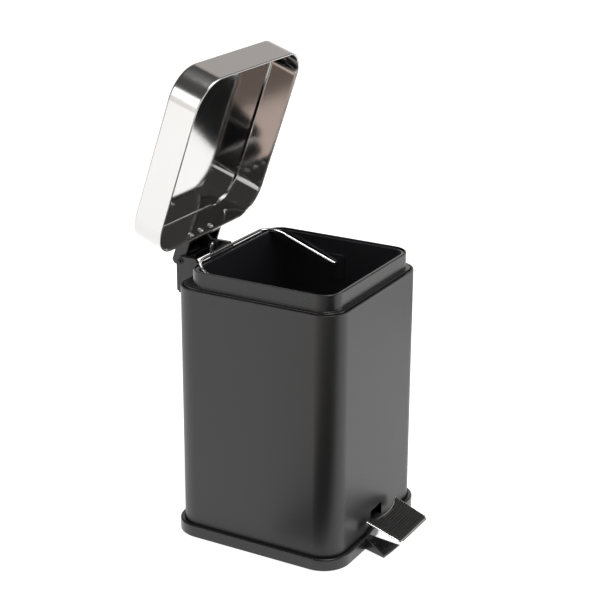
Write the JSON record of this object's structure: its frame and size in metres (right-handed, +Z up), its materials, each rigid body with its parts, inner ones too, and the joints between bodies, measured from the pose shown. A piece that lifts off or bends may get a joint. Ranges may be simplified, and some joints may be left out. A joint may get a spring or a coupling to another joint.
{
  "type": "pedal trash can",
  "caption": "Square pedal-operated waste bin with a hinged lid, lift-out inner bucket, carrying bail, push rod and foot pedal.",
  "frame": {"origin": "centre of the body's footprint on the floor", "axes": "+Z up, -Y towards the foot pedal (front), +Y towards the lid hinge, +X to the right seen from the front"},
  "size_m": [0.19, 0.2702, 0.4752],
  "materials": {
    "blackened_steel": "black oxide",
    "painted_steel": "matte powder coat",
    "black_plastic": "satin",
    "gloss_black_plastic": "gloss",
    "polished_steel": "fine brushed, polished",
    "chrome_wire": "bright",
    "chrome_plate": "bright",
    "zinc_steel": "zinc plated",
    "rubber": "matte",
    "tread_rubber": "matte, fine square studs",
    "nylon": "natural"
  },
  "bodies": {
    "base": {"base_tray": "black_plastic", "rubber_feet": "rubber", "body_shell": "painted_steel", "top_ring": "black_plastic", "hinge_bracket": "black_plastic", "hinge_pin": "blackened_steel", "hinge_clips": "blackened_steel", "bracket_screws": "zinc_steel", "bracket_nuts": "zinc_steel", "rod_guide": "nylon", "pivot_bracket": "zinc_steel", "pivot_pin": "zinc_steel", "pivot_clips": "zinc_steel", "pivot_washers": "nylon", "bracket_rivets": "zinc_steel"},
    "lid": {"lid_shell": "polished_steel", "lid_arm": "black_plastic", "lid_screws": "zinc_steel"},
    "bucket": {"inner_bucket": "gloss_black_plastic"},
    "bail": {"bail_handle": "chrome_wire"},
    "pedal": {"pedal_lever": "zinc_steel", "pedal_cover": "chrome_plate", "pedal_pad": "tread_rubber", "tread_screws": "zinc_steel"},
    "rod": {"push_rod": "zinc_steel", "rod_clips": "zinc_steel"}
  },
  "joints": [
    {"name": "lid_hinge", "type": "hinge", "parent": "base", "child": "lid", "pos_m": [0, 0.116, 0.2675], "axis": [-1, 0, 0], "range_deg": [-71, 0]},
    {"name": "pedal_pivot", "type": "hinge", "parent": "base", "child": "pedal", "pos_m": [0, -0.03, 0.019], "axis": [1, 0, 0], "range_deg": [-9.34, 0]},
    {"name": "rod_slide", "type": "slide", "parent": "base", "child": "rod", "axis": [0, 0, 1], "range_m": [-0.0214, 0]},
    {"name": "bucket_lift", "type": "slide", "parent": "base", "child": "bucket", "axis": [0, 0, 1], "range_m": [0, 0.012]},
    {"name": "bail_swing", "type": "hinge", "parent": "bucket", "child": "bail", "pos_m": [0, -0.001, 0.2531], "axis": [1, 0, 0], "range_deg": [0, 138]}
  ],
  "couplings": [
    {"joint": "pedal_pivot", "follows": "lid_hinge", "ratio": 0.13158},
    {"joint": "rod_slide", "follows": "lid_hinge", "m_per_rad": 0.017268}
  ]
}
